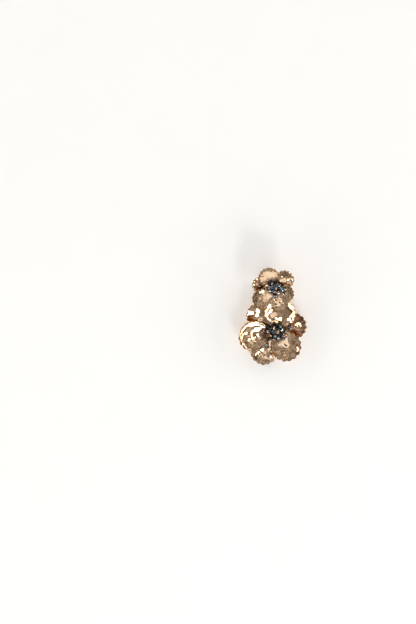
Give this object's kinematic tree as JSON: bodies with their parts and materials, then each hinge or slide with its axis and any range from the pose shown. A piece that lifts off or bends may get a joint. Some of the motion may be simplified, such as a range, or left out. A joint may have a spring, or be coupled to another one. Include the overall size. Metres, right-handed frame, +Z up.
{
  "type": "flower earring",
  "caption": "Post earring of a small over a large flower, each of cupped, scalloped pale-gold petals round dark faceted beads, lying face up.",
  "frame": {"origin": "middle of the earring's outline on the surface it lies on", "axes": "+X to the right seen from above, +Y from the large flower to the small one, +Z up from the surface"},
  "size_m": [0.0356, 0.0502, 0.0203],
  "materials": {
    "petal_gold": "hammered, mirror polished, pale gold plated",
    "backing_gold": "satin, pale gold plated",
    "post_steel": "polished",
    "bead_glass": "opaque black glass with an iridescent coating"
  },
  "bodies": {
    "root": {"back_plate": "backing_gold", "ear_post": "post_steel", "lower_petal_1": "petal_gold", "lower_petal_2": "petal_gold", "lower_petal_3": "petal_gold", "lower_petal_4": "petal_gold", "lower_petal_5": "petal_gold", "lower_petal_6": "petal_gold", "upper_petal_1": "petal_gold", "upper_petal_2": "petal_gold", "upper_petal_3": "petal_gold", "upper_petal_4": "petal_gold", "upper_petal_5": "petal_gold", "upper_petal_6": "petal_gold", "lower_bead_1": "bead_glass", "lower_bead_2": "bead_glass", "lower_bead_3": "bead_glass", "lower_bead_4": "bead_glass", "lower_bead_5": "bead_glass", "lower_bead_6": "bead_glass", "lower_bead_7": "bead_glass", "lower_bead_8": "bead_glass", "lower_bead_9": "bead_glass", "lower_bead_10": "bead_glass", "lower_bead_11": "bead_glass", "lower_bead_12": "bead_glass", "lower_bead_13": "bead_glass", "lower_bead_14": "bead_glass", "upper_bead_1": "bead_glass", "upper_bead_2": "bead_glass", "upper_bead_3": "bead_glass", "upper_bead_4": "bead_glass", "upper_bead_5": "bead_glass", "upper_bead_6": "bead_glass", "upper_bead_7": "bead_glass", "upper_bead_8": "bead_glass", "upper_bead_9": "bead_glass"}
  },
  "joints": []
}
